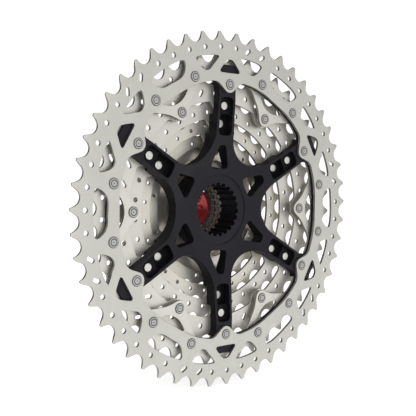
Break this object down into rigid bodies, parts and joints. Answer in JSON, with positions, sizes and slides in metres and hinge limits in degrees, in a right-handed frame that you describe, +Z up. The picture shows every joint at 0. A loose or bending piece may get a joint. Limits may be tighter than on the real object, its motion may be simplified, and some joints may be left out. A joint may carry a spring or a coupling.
{
  "type": "cassette sprocket",
  "caption": "Rear bicycle cassette: stacked toothed rings riveted to a black six-arm spider, a pinned inner cluster, two loose small sprockets, a lock washer and a red lockring.",
  "frame": {"origin": "on the wheel axis, in the plane of the largest sprocket's spoke-side face", "axes": "+Y along the wheel axis towards the small sprockets and the lockring, +Z up along one spider arm, +X to the right when seen from the spoke side"},
  "size_m": [0.2094, 0.0458, 0.2093],
  "materials": {
    "sprocket_steel": "satin nickel-plated steel, fine blasted",
    "rivet_steel": "bare steel rivet heads",
    "spider_black": "black anodised, faint violet",
    "spacer_brown": "moulded spacer rings",
    "lockring_red": "red anodised"
  },
  "bodies": {
    "carrier": {"spider": "spider_black", "spider_sleeve": "spider_black", "sprocket_51": "sprocket_steel", "sprocket_45": "sprocket_steel", "sprocket_39": "sprocket_steel", "sprocket_33": "sprocket_steel", "rivet_arm_end_1": "rivet_steel", "rivet_arm_end_2": "rivet_steel", "rivet_arm_end_3": "rivet_steel", "rivet_arm_end_4": "rivet_steel", "rivet_arm_end_5": "rivet_steel", "rivet_arm_end_6": "rivet_steel", "rivet_rim_1": "rivet_steel", "rivet_rim_2": "rivet_steel", "rivet_rim_3": "rivet_steel", "rivet_rim_4": "rivet_steel", "rivet_rim_5": "rivet_steel", "rivet_rim_6": "rivet_steel", "rivet_rim_7": "rivet_steel", "rivet_rim_8": "rivet_steel", "rivet_rim_9": "rivet_steel", "rivet_rim_10": "rivet_steel", "rivet_rim_11": "rivet_steel", "rivet_rim_12": "rivet_steel", "rivet_tab_1": "rivet_steel", "rivet_tab_2": "rivet_steel", "rivet_tab_3": "rivet_steel", "rivet_tab_4": "rivet_steel", "rivet_tab_5": "rivet_steel", "rivet_tab_6": "rivet_steel", "rivet_arm_outer_1": "rivet_steel", "rivet_arm_outer_2": "rivet_steel", "rivet_arm_outer_3": "rivet_steel", "rivet_arm_outer_4": "rivet_steel", "rivet_arm_outer_5": "rivet_steel", "rivet_arm_outer_6": "rivet_steel", "rivet_arm_inner_1": "rivet_steel", "rivet_arm_inner_2": "rivet_steel", "rivet_arm_inner_3": "rivet_steel", "rivet_arm_inner_4": "rivet_steel", "rivet_arm_inner_5": "rivet_steel", "rivet_arm_inner_6": "rivet_steel"},
    "cluster": {"sprocket_28": "sprocket_steel", "sprocket_24": "sprocket_steel", "sprocket_21": "sprocket_steel", "sprocket_18": "sprocket_steel", "sprocket_16": "sprocket_steel", "sprocket_14": "sprocket_steel", "spacer_18_16": "spacer_brown", "spacer_16_14": "spacer_brown", "pin_outer_1": "rivet_steel", "pin_outer_2": "rivet_steel", "pin_outer_3": "rivet_steel", "pin_inner_1": "rivet_steel", "pin_inner_2": "rivet_steel", "pin_inner_3": "rivet_steel"},
    "cog_12": {"sprocket_12": "sprocket_steel"},
    "cog_10": {"sprocket_10": "sprocket_steel"},
    "washer": {"lock_washer": "sprocket_steel"},
    "ring": {"lockring": "lockring_red"}
  },
  "joints": [
    {"name": "cluster_slide", "type": "slide", "parent": "carrier", "child": "cluster", "axis": [0, 1, 0], "range_m": [0, 0.03]},
    {"name": "cog_12_slide", "type": "slide", "parent": "cluster", "child": "cog_12", "axis": [0, 1, 0], "range_m": [0, 0.012]},
    {"name": "cog_10_slide", "type": "slide", "parent": "cog_12", "child": "cog_10", "axis": [0, 1, 0], "range_m": [0, 0.012]},
    {"name": "lock_slide", "type": "slide", "parent": "cog_10", "child": "washer", "axis": [0, 1, 0], "range_m": [0, 0.0105]},
    {"name": "lockring_turn", "type": "hinge", "parent": "washer", "child": "ring", "pos_m": [0, 0.0336, 0], "axis": [0, 1, 0], "range_deg": [0, 3600]}
  ],
  "couplings": [
    {"joint": "lock_slide", "follows": "lockring_turn", "m_per_rad": 0.00015915}
  ]
}
